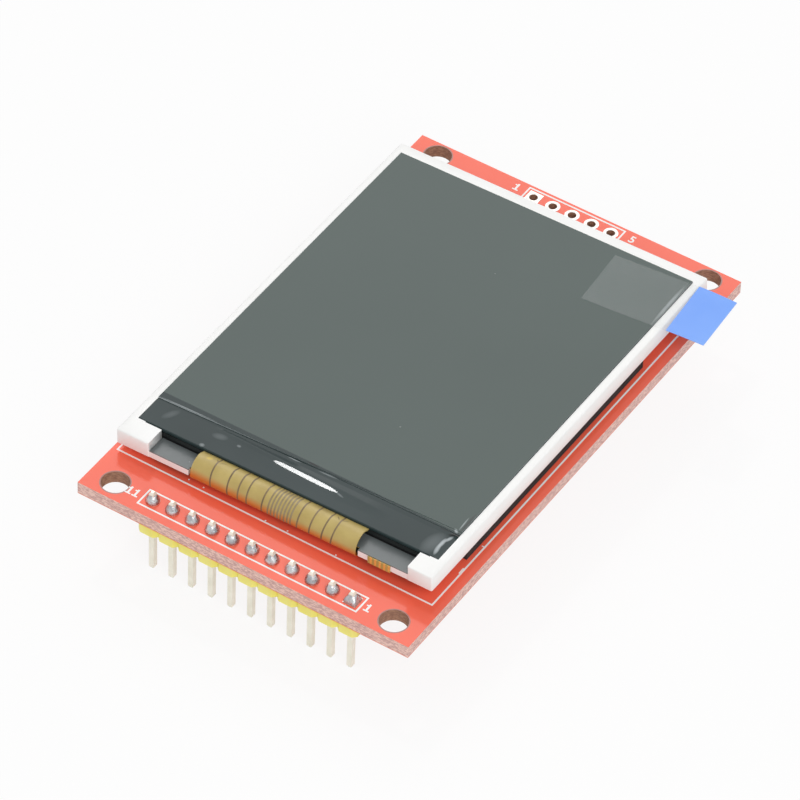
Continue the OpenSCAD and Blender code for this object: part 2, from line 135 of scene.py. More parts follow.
def directly_seen(tree):
    """1 for what the camera sees, straight or in a gloss or a clear film, and 0 for light that fills in."""
    light_path = add(tree, "ShaderNodeLightPath")
    seen = light_path.outputs["Is Camera Ray"]
    for ray in ("Is Glossy Ray", "Is Transmission Ray"):
        seen = work_out(tree, "MAXIMUM", seen, light_path.outputs[ray])
    return seen


fill_level = 0.52
world = bpy.data.worlds.new("studio")
world.use_nodes = True
scene.world = world
tree = world.node_tree
tree.nodes.clear()
background = add(tree, "ShaderNodeBackground")
background.inputs["Color"].default_value = (1, 1, 1, 1)
level = carried(tree, directly_seen(tree), end=(fill_level, 1))
tree.links.new(level, background.inputs["Strength"])
output = add(tree, "ShaderNodeOutputWorld")
tree.links.new(background.outputs[0], output.inputs["Surface"])

floor_size = 2.4
floor_gap = 0.02 * mm
bpy.ops.object.select_all(action="DESELECT")
bpy.ops.mesh.primitive_plane_add(size=floor_size, location=(0, 0, cad_box[0][2] - floor_gap))
floor = bpy.context.object
floor.name = "floor"
paper = bpy.data.materials.new("floor_paper")
paper.use_nodes = True
tree = paper.node_tree
tree.nodes.clear()
shade = add(tree, "ShaderNodeBsdfDiffuse")
shade.inputs["Color"].default_value = (0.92, 0.92, 0.92, 1)
white = add(tree, "ShaderNodeEmission")
white.inputs["Strength"].default_value = 1.0
white_share = 0.88
lit = add(tree, "ShaderNodeMixShader")
tree.links.new(work_out(tree, "MULTIPLY", directly_seen(tree), white_share), lit.inputs[0])
tree.links.new(shade.outputs[0], lit.inputs[1])
tree.links.new(white.outputs[0], lit.inputs[2])
below = add(tree, "ShaderNodeNewGeometry")
clear = add(tree, "ShaderNodeBsdfTransparent")
one_sided = add(tree, "ShaderNodeMixShader")
tree.links.new(below.outputs["Backfacing"], one_sided.inputs[0])
tree.links.new(lit.outputs[0], one_sided.inputs[1])
tree.links.new(clear.outputs[0], one_sided.inputs[2])
output = add(tree, "ShaderNodeOutputMaterial")
tree.links.new(one_sided.outputs[0], output.inputs["Surface"])
floor.data.materials.append(paper)


# The circuit board: glass-fibre laminate under a glossy red solder mask. The routed edges and the
# drilled holes show the bare laminate, and a thin ring round each mounting hole is free of mask.
def blended(tree, mask, first, second):
    """The first colour where the mask is 0 and the second where it is 1."""
    node = add(tree, "ShaderNodeMix", data_type="RGBA")
    tree.links.new(mask, node.inputs["Factor"])
    for socket, colour in ((node.inputs["A"], first), (node.inputs["B"], second)):
        if isinstance(colour, tuple):
            socket.default_value = (*colour, 1)
        else:
            tree.links.new(colour, socket)
    return node.outputs["Result"]


drift_group = bpy.data.node_groups.new("surface_drift", "ShaderNodeTree")
for name in ("Patch Scale", "Grain Scale"):
    drift_group.interface.new_socket(name, in_out="INPUT", socket_type="NodeSocketFloat")
for name in ("Drift", "Grain", "Specks"):
    drift_group.interface.new_socket(name, in_out="OUTPUT", socket_type="NodeSocketFloat")
given = add(drift_group, "NodeGroupInput")
result = add(drift_group, "NodeGroupOutput")
place = add(drift_group, "ShaderNodeTexCoord")
for scale, out in (("Patch Scale", "Drift"), ("Grain Scale", "Grain")):
    noise = add(drift_group, "ShaderNodeTexNoise")
    noise.inputs["Detail"].default_value = 3
    drift_group.links.new(place.outputs["Object"], noise.inputs["Vector"])
    drift_group.links.new(given.outputs[scale], noise.inputs["Scale"])
    spread = carried(drift_group, noise.outputs[0], start=(0.3, 0.7))
    drift_group.links.new(spread, result.inputs[out])
speck_scale = 420
speck_radius = 0.045
share_without_speck = 0.86
cells = add(drift_group, "ShaderNodeTexVoronoi")
cells.inputs["Scale"].default_value = speck_scale
drift_group.links.new(place.outputs["Object"], cells.inputs["Vector"])
dot = work_out(drift_group, "LESS_THAN", cells.outputs["Distance"], speck_radius)
chosen = add(drift_group, "ShaderNodeSeparateColor")
drift_group.links.new(cells.outputs["Color"], chosen.inputs[0])
rare = work_out(drift_group, "GREATER_THAN", chosen.outputs[0], share_without_speck)
drift_group.links.new(work_out(drift_group, "MULTIPLY", dot, rare), result.inputs["Specks"])


def finish(name, deep, pale, rough, patch=150, grain=4000, relief=0.0, dust=0.0, **fixed):
    """A material that drifts between two shades, with a fine relief and a little light dust."""
    material = bpy.data.materials.new(name)
    material.use_nodes = True
    tree = material.node_tree
    skin = tree.nodes["Principled BSDF"]
    drift = add(tree, "ShaderNodeGroup", node_tree=drift_group)
    drift.inputs["Patch Scale"].default_value = patch
    drift.inputs["Grain Scale"].default_value = grain
    colour = blended(tree, drift.outputs["Drift"], deep, pale)
    if dust:
        amount = work_out(tree, "MULTIPLY", drift.outputs["Specks"], dust)
        colour = blended(tree, amount, colour, (0.75, 0.76, 0.76))
    tree.links.new(colour, skin.inputs["Base Color"])
    tree.links.new(carried(tree, drift.outputs["Grain"], end=rough), skin.inputs["Roughness"])
    if relief:
        bump = add(tree, "ShaderNodeBump")
        bump.inputs["Distance"].default_value = relief * mm
        tree.links.new(drift.outputs["Grain"], bump.inputs["Height"])
        tree.links.new(bump.outputs[0], skin.inputs["Normal"])
    for socket, value in fixed.items():
        skin.inputs[socket.replace("_", " ")].default_value = value
    return material


def opened(material):
    """A finish's node tree, its surface node and the colour that feeds it, to be worked on further."""
    tree = material.node_tree
    skin = tree.nodes["Principled BSDF"]
    return tree, skin, skin.inputs["Base Color"].links[0].from_socket


def axes_of(tree, coordinates):
    """The X, Y and Z of a point's Object or Normal coordinates."""
    place = add(tree, "ShaderNodeTexCoord")
    parts = add(tree, "ShaderNodeSeparateXYZ")
    tree.links.new(place.outputs[coordinates], parts.inputs[0])
    return parts.outputs


def is_wall(tree):
    """1 on faces that stand upright on the board, and 0 on flat ones."""
    facing = axes_of(tree, "Normal")
    return work_out(tree, "LESS_THAN", work_out(tree, "ABSOLUTE", facing["Z"]), 0.5)


def dress(piece, material):
    piece.data.materials.clear()
    piece.data.materials.append(material)


def stand_in(node_name, material):
    """Shows the piece instead of the CAD node, which gets the same finish."""
    dress(nodes[node_name], material)
    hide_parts(node_name)


board_low, board_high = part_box("circuit_board")
board_half = (board_high.x, (board_high.y - board_low.y) / 2)
board_middle_y = (board_high.y + board_low.y) / 2
board_top = board_high.z
hole_x = 17.7 * mm
hole_y = 31.4 * mm
hole_r = 1.6 * mm
bare_ring = 0.14 * mm
edge_depth = 0.05 * mm
mask_overlap = 0.09 * mm

solder_mask = finish(
    "solder_mask", (0.93, 0.132, 0.072), (0.97, 0.152, 0.086), (0.10, 0.16), patch=60, grain=900,
    Specular_IOR_Level=0.36,
)
tree, skin, mask_colour = opened(solder_mask)
spot = axes_of(tree, "Object")
from_x = work_out(tree, "ABSOLUTE", spot["X"])
from_y = work_out(tree, "ABSOLUTE", spot["Y"])
from_middle_y = work_out(tree, "ABSOLUTE", work_out(tree, "SUBTRACT", spot["Y"], board_middle_y))
wall = is_wall(tree)
inside_x = work_out(tree, "LESS_THAN", from_x, board_half[0] - edge_depth)
inside_y = work_out(tree, "LESS_THAN", from_middle_y, board_half[1] - edge_depth)
drilled = work_out(tree, "MULTIPLY", work_out(tree, "MULTIPLY", inside_x, inside_y), wall)
step_x = work_out(tree, "SUBTRACT", from_x, hole_x)
step_y = work_out(tree, "SUBTRACT", from_y, hole_y)
square_x = work_out(tree, "MULTIPLY", step_x, step_x)
square_y = work_out(tree, "MULTIPLY", step_y, step_y)
from_hole = work_out(tree, "SQRT", work_out(tree, "ADD", square_x, square_y))
ringed = work_out(tree, "LESS_THAN", from_hole, hole_r + bare_ring)
place = add(tree, "ShaderNodeTexCoord")
fibre = add(tree, "ShaderNodeTexNoise")
fibre.inputs["Scale"].default_value = 2600
fibre.inputs["Detail"].default_value = 2
stretch = add(tree, "ShaderNodeMapping")
stretch.inputs["Scale"].default_value = (1, 1, 3)
tree.links.new(place.outputs["Object"], stretch.inputs["Vector"])
tree.links.new(stretch.outputs[0], fibre.inputs["Vector"])
cut = carried(tree, fibre.outputs[0], start=(0.4, 0.62))
laminate = blended(tree, cut, (0.60, 0.36, 0.33), (0.90, 0.62, 0.54))
lower_rim = work_out(tree, "LESS_THAN", spot["Z"], mask_overlap)
laminate = blended(tree, lower_rim, laminate, (0.85, 0.20, 0.10))
drilling = blended(tree, cut, (0.30, 0.15, 0.10), (0.46, 0.26, 0.17))
colour = blended(tree, ringed, mask_colour, (0.42, 0.20, 0.17))
colour = blended(tree, wall, colour, laminate)
colour = blended(tree, drilled, colour, drilling)
tree.links.new(colour, skin.inputs["Base Color"])
tree.links.new(carried(tree, wall, end=(0.12, 0.75)), skin.inputs["Roughness"])
dress(nodes["circuit_board"], solder_mask)


# The printed legend: white ink on the solder mask, each line a thin flat band. It outlines the panel
# and both headers, numbers their end pins and, underneath, outlines the small parts too.
def pick(piece):
    bpy.ops.object.select_all(action="DESELECT")
    piece.select_set(True)
    bpy.context.view_layer.objects.active = piece


def begin_edit(piece, action="SELECT"):
    """Opens a piece's mesh with all of it selected, or with none for action DESELECT."""
    pick(piece)
    bpy.ops.object.mode_set(mode="EDIT")
    bpy.ops.mesh.select_all(action=action)


def end_edit():
    bpy.ops.object.mode_set(mode="OBJECT")


def face_outwards():
    """Turns the open mesh's faces outwards and closes it."""
    bpy.ops.mesh.select_all(action="SELECT")
    bpy.ops.mesh.normals_make_consistent(inside=False)
    end_edit()


def smoothed(piece, degrees):
    """The piece shaded smooth, apart from its sharper edges."""
    pick(piece)
    bpy.ops.object.shade_smooth_by_angle(angle=math.radians(degrees))
    return piece


def joined(name, pieces):
    """Pieces of one material made into one piece."""
    bpy.ops.object.select_all(action="DESELECT")
    for piece in pieces:
        piece.select_set(True)
    bpy.context.view_layer.objects.active = pieces[0]
    bpy.ops.object.join()
    pieces[0].name = name
    return pieces[0]


def keep(piece, name, material):
    """Fixes a finished piece's place in its mesh, names and dresses it, and seats it on the body."""
    pick(piece)
    bpy.ops.object.transform_apply(location=True, rotation=True, scale=True)
    piece.name = name
    piece.data.name = name
    dress(piece, material)
    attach(piece, "root")


ink_height = 0.02 * mm
line_width = 0.2 * mm
face_size = 1.35
boldness = 0.03 * mm


def flat_rectangle(x0, x1, y0, y1, base):
    """A rectangle at a height, with its mesh open."""
    bpy.ops.object.select_all(action="DESELECT")
    bpy.ops.mesh.primitive_plane_add(size=1, location=((x0 + x1) / 2, (y0 + y1) / 2, base))
    piece = bpy.context.object
    piece.scale = (x1 - x0, y1 - y0, 1)
    bpy.ops.object.transform_apply(location=True, rotation=True, scale=True)
    begin_edit(piece)
    return piece


def printed_band(x0, x1, y0, y1, base, height=ink_height):
    """A flat rectangle of ink, or of copper."""
    band = flat_rectangle(x0, x1, y0, y1, base)
    bpy.ops.mesh.extrude_region_move(TRANSFORM_OT_translate={"value": (0, 0, height)})
    face_outwards()
    return band


def printed_outline(x0, x1, y0, y1, base):
    """A rectangle drawn as a line of ink."""
    outline = flat_rectangle(x0, x1, y0, y1, base)
    bpy.ops.mesh.inset(thickness=line_width)
    bpy.ops.mesh.delete(type="FACE")
    bpy.ops.mesh.select_all(action="SELECT")
    bpy.ops.mesh.extrude_region_move(TRANSFORM_OT_translate={"value": (0, 0, ink_height)})
    face_outwards()
    return outline


def outline_about(x, y, half_x, half_y, base):
    """A line of ink at the same distance all round a middle."""
    return printed_outline(x - half_x, x + half_x, y - half_y, y + half_y, base)


def printed_digit(digit, x, y, height, base, mirrored=False):
    """A number in a plain legend face, centred at x and y."""
    bpy.ops.object.select_all(action="DESELECT")
    bpy.ops.object.text_add(location=(0, 0, 0))
    text = bpy.context.object
    text.data.body = digit
    text.data.align_x = "CENTER"
    text.data.align_y = "CENTER"
    text.data.size = height * face_size
    text.data.extrude = ink_height / 2
    text.data.offset = boldness
    bpy.ops.object.convert(target="MESH")
    text = bpy.context.object
    if mirrored:
        text.rotation_euler = (0, math.pi, 0)
    text.location = (x, y, base + ink_height / 2)
    bpy.ops.object.transform_apply(location=True, rotation=True, scale=True)
    begin_edit(text)
    bpy.ops.mesh.remove_doubles(threshold=0.002 * mm)
    end_edit()
    return text


def printed_one(x, y, height, base):
    """The number 1: a stem, a foot and a short flag."""
    foot = y - height / 2 + 0.18 * mm
    flag = y + height / 2 - 0.34 * mm
    return [
        printed_band(x - 0.12 * mm, x + 0.12 * mm, foot, y + height / 2, base),
        printed_band(x - 0.36 * mm, x + 0.36 * mm, y - height / 2, foot, base),
        printed_band(x - 0.34 * mm, x - 0.12 * mm, flag, flag + 0.16 * mm, base),
    ]


ink = finish("legend_ink", (0.95, 0.93, 0.91), (0.98, 0.97, 0.96), (0.45, 0.6), patch=900)
header_x = (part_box("header_insulator")[0].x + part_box("header_insulator")[1].x) / 2
header_y = (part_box("header_insulator")[0].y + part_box("header_insulator")[1].y) / 2
pitch = 2.54 * mm
card_x = -0.05 * mm
card_y = board_high.y - 1.6 * mm
ink_dot = 0.16
legend = [
    printed_outline(-20.45 * mm, 19.83 * mm, -27.34 * mm, 28.2 * mm, board_top),
    outline_about(header_x, header_y, 5.5 * pitch, pitch / 2, board_top),
    outline_about(card_x, card_y, 2.5 * pitch, pitch / 2, board_top),
    printed_band(19.36 * mm, 19.63 * mm, -17.12 * mm, -17.0 * mm, board_top),
    printed_band(19.48 * mm, 19.63 * mm, -21.8 * mm, -20.9 * mm, board_top),
    *printed_one(-15.78 * mm, -31.45 * mm, 1.12 * mm, board_top),
    *printed_one(-14.92 * mm, -31.45 * mm, 1.12 * mm, board_top),
    *printed_one(14.5 * mm, -31.4 * mm, 1.12 * mm, board_top),
    *printed_one(-7.58 * mm, 32.12 * mm, 1.1 * mm, board_top),
    printed_digit("5", 7.55 * mm, 32.13 * mm, 1.1 * mm, board_top),
]
for x, y in ((-9.65, -26.78), (1.25, -27.02), (-11.6, -26.7), (-1.5, -27.1), (7.4, -27.05)):
    legend.append(printed_band(x * mm, (x + ink_dot) * mm, y * mm, (y + ink_dot) * mm, board_top))
keep(joined("legend", legend), "board_legend", ink)

under = -ink_height
chips_y = header_y + 9 * mm
regulator_x = -12.5 * mm
transistor_x = 9 * mm
capacitors = ((-17.75 * mm, -19.7 * mm), (-7.25 * mm, -20.7 * mm))
resistors = ((1.25 * mm, chips_y), (4.75 * mm, chips_y))
legend = [
    outline_about(header_x, header_y, 5.5 * pitch, pitch / 2, under),
    printed_outline(-15.3 * mm, -9.7 * mm, chips_y - 2.6 * mm, chips_y + 2.7 * mm, under),
    printed_outline(7.1 * mm, 10.9 * mm, chips_y - 1.9 * mm, chips_y + 1.9 * mm, under),
    *[outline_about(x, y, 1.4 * mm, 1.0 * mm, under) for x, y in (*capacitors, *resistors)],
    printed_digit("1", 14.6 * mm, header_y, 1.2 * mm, under, mirrored=True),
    printed_digit("11", -15.4 * mm, header_y, 1.2 * mm, under, mirrored=True),
]
keep(joined("legend", legend), "underside_legend", ink)


# The pads: tinned copper rings round the holes on both faces. The first pad of each row is square,
# and the card header's row is left empty.
def turned(profile, x, y, sides, closed=False):
    """A shape built up ring by ring from (radius, height) pairs; it is capped, or closed as a tube."""
    first_radius, first_height = profile[0]
    bpy.ops.object.select_all(action="DESELECT")
    bpy.ops.mesh.primitive_circle_add(vertices=sides, radius=first_radius, location=(x, y, first_height))
    piece = bpy.context.object
    bpy.ops.object.transform_apply(location=True, rotation=True, scale=True)
    begin_edit(piece)
    if not closed:
        bpy.ops.mesh.edge_face_add()
        bpy.ops.mesh.select_all(action="SELECT")
    for (radius, height), (next_radius, next_height) in zip(profile, profile[1:]):
        move = {"value": (0, 0, next_height - height)}
        if closed:
            bpy.ops.mesh.extrude_edges_move(TRANSFORM_OT_translate=move)
        else:
            bpy.ops.mesh.extrude_region_move(TRANSFORM_OT_translate=move)
        growth = next_radius / radius
        bpy.ops.transform.resize(value=(growth, growth, 1), center_override=(x, y, next_height))
    if closed:
        bpy.ops.mesh.select_all(action="DESELECT")
        bpy.ops.mesh.select_non_manifold()
        bpy.ops.mesh.bridge_edge_loops()
    face_outwards()
    return piece


pad_height = 0.035 * mm
pin_hole_r = 0.5 * mm
header_pad_r = 0.79 * mm
card_pad_r = 0.86 * mm


def pad(x, y, base, side, square, pad_r):
    """A ring of copper that stands on one face of the board; the first pad's outside is square."""
    low, high = (base, base + pad_height) if side > 0 else (base - pad_height, base)
    ring = turned([(pin_hole_r, low), (pad_r, low), (pad_r, high), (pin_hole_r, high)], x, y, 32, closed=True)
    if square:
        for vertex in ring.data.vertices:
            out = Vector((vertex.co.x - x, vertex.co.y - y))
            if out.length > 0.9 * pad_r:
                reach = pad_r / max(abs(out.x), abs(out.y))
                vertex.co.x = x + out.x * reach
                vertex.co.y = y + out.y * reach
    return ring


tin = finish(
    "tinned_copper", (0.46, 0.43, 0.40), (0.58, 0.55, 0.52), (0.2, 0.34), patch=900, relief=0.02, Metallic=1.0
)
faces = ((board_top, 1), (board_low.z, -1))
pads = []
for i in range(11):
    for base, side in faces:
        pads.append(pad(header_x + (5 - i) * pitch, header_y, base, side, i == 0, header_pad_r))
keep(joined("pads", pads), "header_pads", tin)
pads = []
for i in range(5):
    for base, side in faces:
        pads.append(pad(card_x + (i - 2) * pitch, card_y, base, side, i == 0, card_pad_r))
keep(joined("pads", pads), "card_header_pads", tin)


# The pin header: square tinned pins pressed through a yellow moulding under the board. Each pin is
# soldered on top, where the joint climbs the pin in a bell, and the first joint spreads into a star.
moulding = finish(
    "header_moulding", (0.95, 0.87, 0.18), (0.98, 0.93, 0.26), (0.4, 0.5), patch=500, relief=0.01
)
dress(nodes["header_insulator"], moulding)
pin_plating = finish(
    "pin_plating", (0.86, 0.84, 0.71), (0.96, 0.94, 0.83), (0.3, 0.45), patch=700, relief=0.01, Metallic=0.35
)
for i in range(1, 12):
    dress(nodes[f"header_pin_{i}"], pin_plating)

solder = finish(
    "solder", (0.34, 0.35, 0.37), (0.66, 0.67, 0.68), (0.2, 0.34), patch=1300, grain=2600, relief=0.03,
    Metallic=1.0,
)
barrel_r = 0.49 * mm
foot_r = 0.6 * mm
star_waist = 0.94
star_point = 0.42
star_narrowness = 1.6
unevenness = 0.03 * mm
bell_rings = (
    (0.78, 0), (0.80, 0.12), (0.74, 0.32), (0.62, 0.56), (0.50, 0.78), (0.40, 0.95), (0.33, 1.0)
)
bell = [(barrel_r, 0), (barrel_r, board_top)]
bell += [(radius * mm, board_top + rise * mm) for radius, rise in bell_rings]
for i in range(1, 12):
    x = header_x + (6 - i) * pitch
    joint = turned(bell, x, header_y, 28)
    if i == 1:
        for vertex in joint.data.vertices:
            out = Vector((vertex.co.x - x, vertex.co.y - header_y))
            if out.length > foot_r and vertex.co.z > board_top - 0.01 * mm:
                lean = abs(abs(out.x) - abs(out.y)) / out.length
                reach = star_waist + star_point * max(0.0, 1 - lean * star_narrowness)
                vertex.co.x = x + out.x * reach
                vertex.co.y = header_y + out.y * reach
    else:
        begin_edit(joint, "DESELECT")
        end_edit()
        for vertex in joint.data.vertices:
            vertex.select = vertex.co.z > board_top + 0.05 * mm
        bpy.ops.object.mode_set(mode="EDIT")
        bpy.ops.transform.vertex_random(offset=unevenness, seed=i)
        end_edit()
    keep(smoothed(joint, 50), f"solder_joint_{i}", solder)
    stand_in(f"header_solder_{i}", solder)


# Under the board: a card socket with a folded steel cover over a black tray and gold springs, and the
# small parts that feed the display. Each stands on tinned pads.
steel = finish(
    "socket_steel", (0.60, 0.61, 0.62), (0.70, 0.71, 0.72), (0.24, 0.34), patch=90, grain=6000, relief=0.004,
    Metallic=1.0,
)
tray = finish("socket_tray", (0.030, 0.030, 0.034), (0.050, 0.050, 0.054), (0.45, 0.6), relief=0.02)
gold = finish(
    "contact_gold", (0.72, 0.52, 0.20), (0.86, 0.66, 0.30), (0.2, 0.3), patch=600, relief=0.01, Metallic=1.0
)
dress(nodes["sd_socket_shell"], steel)
dress(nodes["sd_socket_base"], tray)
dress(nodes["sd_contacts"], gold)


def tipped(name, deep, pale, rough, axis, centre, half):
    """A small part's own finish between its two rows of tinned leads or its two tinned ends."""
    material = finish(name, deep, pale, rough, relief=0.01)
    tree, skin, colour = opened(material)
    place = axes_of(tree, "Object")
    out = work_out(tree, "ABSOLUTE", work_out(tree, "SUBTRACT", place[axis], centre))
    end = work_out(tree, "GREATER_THAN", out, half)
    tree.links.new(blended(tree, end, colour, (0.68, 0.68, 0.67)), skin.inputs["Base Color"])
    tree.links.new(end, skin.inputs["Metallic"])
    return material


black_case = ((0.020, 0.020, 0.022), (0.036, 0.036, 0.040), (0.5, 0.65))
tan_ceramic = ((0.34, 0.22, 0.12), (0.44, 0.30, 0.17), (0.4, 0.55))
black_glaze = ((0.012, 0.012, 0.014), (0.030, 0.030, 0.034), (0.25, 0.4))
small_parts = [
    ("regulator", black_case, "Y", chips_y, 1.26 * mm),
    ("transistor", black_case, "Y", chips_y, 0.66 * mm),
    ("capacitor_1", tan_ceramic, "X", capacitors[0][0], 0.65 * mm),
    ("capacitor_2", tan_ceramic, "X", capacitors[1][0], 0.65 * mm),
    ("resistor_1", black_glaze, "X", resistors[0][0], 0.45 * mm),
    ("resistor_2", black_glaze, "X", resistors[1][0], 0.45 * mm),
]
for name, (deep, pale, rough), axis, centre, half in small_parts:
    dress(nodes[name], tipped(name + "_finish", deep, pale, rough, axis, centre, half))

socket_low, socket_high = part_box("sd_socket_shell")
heel = socket_low.y
contact_pitch = 2.5 * mm
places = [(i * contact_pitch, heel - 1.0 * mm, 1.1 * mm, 1.9 * mm) for i in range(-4, 5)]
places += [
    (side * (socket_high.x - 0.45 * mm), y, 1.5 * mm, 2.9 * mm)
    for side in (-1, 1) for y in (heel + 2.2 * mm, socket_high.y - 2.2 * mm)
]
places += [(regulator_x + x, chips_y - 1.8 * mm, 0.9 * mm, 1.4 * mm) for x in (-1.5 * mm, 0, 1.5 * mm)]
places += [(regulator_x, chips_y + 1.85 * mm, 2.2 * mm, 1.3 * mm)]
places += [(transistor_x, chips_y + 1.2 * mm, 0.8 * mm, 1.1 * mm)]
places += [(transistor_x + x, chips_y - 1.2 * mm, 0.8 * mm, 1.1 * mm) for x in (-0.95 * mm, 0.95 * mm)]
for rows, reach, breadth in ((capacitors, 0.9 * mm, 1.5 * mm), (resistors, 0.72 * mm, 1.0 * mm)):
    places += [(x + side * reach, y, 0.8 * mm, breadth) for x, y in rows for side in (-1, 1)]
pads = [
    printed_band(x - width / 2, x + width / 2, y - length / 2, y + length / 2, -pad_height, pad_height)
    for x, y, width, length in places
]
keep(joined("pads", pads), "underside_pads", tin)


# The copper tracks under the underside's solder mask, raised a little. They run from the header to
# small plated holes, and from the socket's contacts to theirs.
track_height = 0.02 * mm
track_width = 0.28 * mm
supply_width = 0.5 * mm


def ribbon(points, width, base):
    """A raised strip along a line of points, with its corners mitred."""
    path = [Vector(point) * mm for point in points]
    sides = []
    for i, point in enumerate(path):
        steps = [(b - a).normalized() for a, b in zip(path[max(i - 1, 0):i + 1], path[max(i, 1):i + 2])]
        along = sum(steps, Vector((0, 0))).normalized()
        across = Vector((-along.y, along.x)) * (width / 2 / along.dot(steps[0]))
        sides.append((point - across, point + across))
    bpy.ops.object.select_all(action="DESELECT")
    bpy.ops.mesh.primitive_plane_add(size=1)
    strip = bpy.context.object
    for index, (end, side) in enumerate(((0, 0), (1, 0), (0, 1), (1, 1))):
        strip.data.vertices[index].co = (*sides[end][side], base)
    for last, following in zip(sides[1:], sides[2:]):
        begin_edit(strip, "DESELECT")
        end_edit()
        for vertex in strip.data.vertices:
            vertex.select = min((vertex.co.xy - corner).length for corner in last) < 0.001 * mm
        bpy.ops.object.mode_set(mode="EDIT")
        bpy.ops.mesh.extrude_edges_move(TRANSFORM_OT_translate={"value": (0, 0, 0)})
        end_edit()
        for vertex in strip.data.vertices:
            if vertex.select:
                nearest = 0 if (vertex.co.xy - last[0]).length < (vertex.co.xy - last[1]).length else 1
                vertex.co = (*following[nearest], base)
    begin_edit(strip)
    bpy.ops.mesh.extrude_region_move(TRANSFORM_OT_translate={"value": (0, 0, track_height)})
    face_outwards()
    return strip


def plated_hole(x, y):
    """A small hole's rim, domed over by the mask."""
    rings = [(0.34 * mm, 0.0), (0.30 * mm, -0.03 * mm), (0.16 * mm, -0.03 * mm), (0.12 * mm, -0.015 * mm)]
    return turned(rings, x * mm, y * mm, 20)


masked_copper = finish(
    "masked_copper", (0.80, 0.075, 0.034), (0.86, 0.095, 0.046), (0.10, 0.18), patch=120,
    Specular_IOR_Level=0.36,
)
row_end = -30.6
first_bend = -28.6
bend_step = 0.35
lanes = [13.6, 11.9, 6.4, 3.0, -0.7, -1.9, -3.1, -4.3, -5.5, -9.25]
ends = [-17.0, -15.0, -12.5, -10.0, -12.5, -7.5, -10.0, -12.5, -7.5, -15.0]
copper = []
for i, (lane, end) in enumerate(zip(lanes, ends)):
    x = (header_x + (5 - i) * pitch) / mm
    turn = abs(lane - x)
    start = first_bend + bend_step * abs(i - 5)
    points = [(x, row_end), (x, start), (lane, start + turn), (lane, end)]
    copper.append(ribbon(points, track_width, -track_height))
    copper.append(plated_hole(lane, end))
points = [(-12.85, row_end), (-12.85, -28.4), (-14.0, -27.25), (-14.0, -24.9)]
copper.append(ribbon(points, supply_width, -track_height))
sidestep = 0.6
hole_step = 0.9
for i in range(-4, 5):
    x = i * contact_pitch / mm
    aside = x + sidestep
    bend = heel / mm - 3.0
    end = heel / mm - 4.2 - hole_step * (i % 3)
    points = [(x, heel / mm - 1.9), (x, bend), (aside, bend - sidestep), (aside, end)]
    copper.append(ribbon(points, track_width, -track_height))
    copper.append(plated_hole(aside, end))
keep(joined("tracks", copper), "board_tracks", masked_copper)


# The panel's mounting tape: two strips of black foam that hold the panel to the board. The right one
# is the taller, so the panel lies at a slight roll.
foam = finish(
    "foam", (0.014, 0.014, 0.014), (0.030, 0.030, 0.029), (0.85, 0.95), patch=500, grain=5000, relief=0.12
)
dress(nodes["foam_tape_left"], foam)
dress(nodes["foam_tape_right"], foam)


# The backlight: a white moulded frame with two lugs at the front, and in it the reflector, the light
# guide, the diffusing films and the row of diodes under their dark tape.
def reworked(node_name):
    """A merged copy of a CAD piece's mesh, to be shaped further."""
    piece = bpy.data.objects.new(node_name, nodes[node_name].data.copy())
    scene.collection.objects.link(piece)
    begin_edit(piece)
    bpy.ops.mesh.remove_doubles(threshold=0.001 * mm)
    end_edit()
    return piece


frame_plastic = finish(
    "frame_plastic", (0.935, 0.935, 0.92), (0.965, 0.965, 0.955), (0.35, 0.45), patch=200, relief=0.005
)
panel_roll = math.radians(1.3)
panel_height = 2.05 * mm
frame_low, frame_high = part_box("backlight_frame")
panel_width = (frame_high.x - frame_low.x - panel_height * math.sin(panel_roll)) / math.cos(panel_roll)
panel_origin = Vector((
    (frame_low.x + frame_high.x + panel_height * math.sin(panel_roll)) / 2,
    (frame_low.y + frame_high.y) / 2,
    frame_low.z + panel_width / 2 * math.sin(panel_roll),
))
on_panel = Matrix.Translation(panel_origin) @ Matrix.Rotation(-panel_roll, 4, "Y")

shell = reworked("backlight_frame")
begin_edit(shell)
bpy.ops.mesh.dissolve_limited(angle_limit=math.radians(0.5))
bpy.ops.mesh.select_all(action="DESELECT")
end_edit()
to_panel = on_panel.inverted()
close = 0.01 * mm
shell_front = -27.65 * mm
shell_back = 27.65 * mm
shell_side = panel_width / 2
edge_radius = 0.16 * mm
for edge in shell.data.edges:
    a, b = (to_panel @ shell.data.vertices[index].co for index in edge.vertices)
    on_top = min(a.z, b.z) > panel_height - close
    at_side = min(abs(a.x), abs(b.x)) > shell_side - close and a.x * b.x > 0
    at_front = max(a.y, b.y) < shell_front + close
    at_back = min(a.y, b.y) > shell_back - close
    upright = abs(a.z - b.z) > 0.5 * mm
    upper_edge = on_top and (at_side or at_front or at_back)
    corner_edge = upright and (at_front or (at_side and at_back))
    edge.select = upper_edge or corner_edge
pick(shell)
bpy.ops.object.mode_set(mode="EDIT")
bpy.ops.mesh.bevel(offset=edge_radius, segments=3, clamp_overlap=False)
end_edit()
keep(smoothed(shell, 40), "backlight_shell", frame_plastic)
stand_in("backlight_frame", frame_plastic)

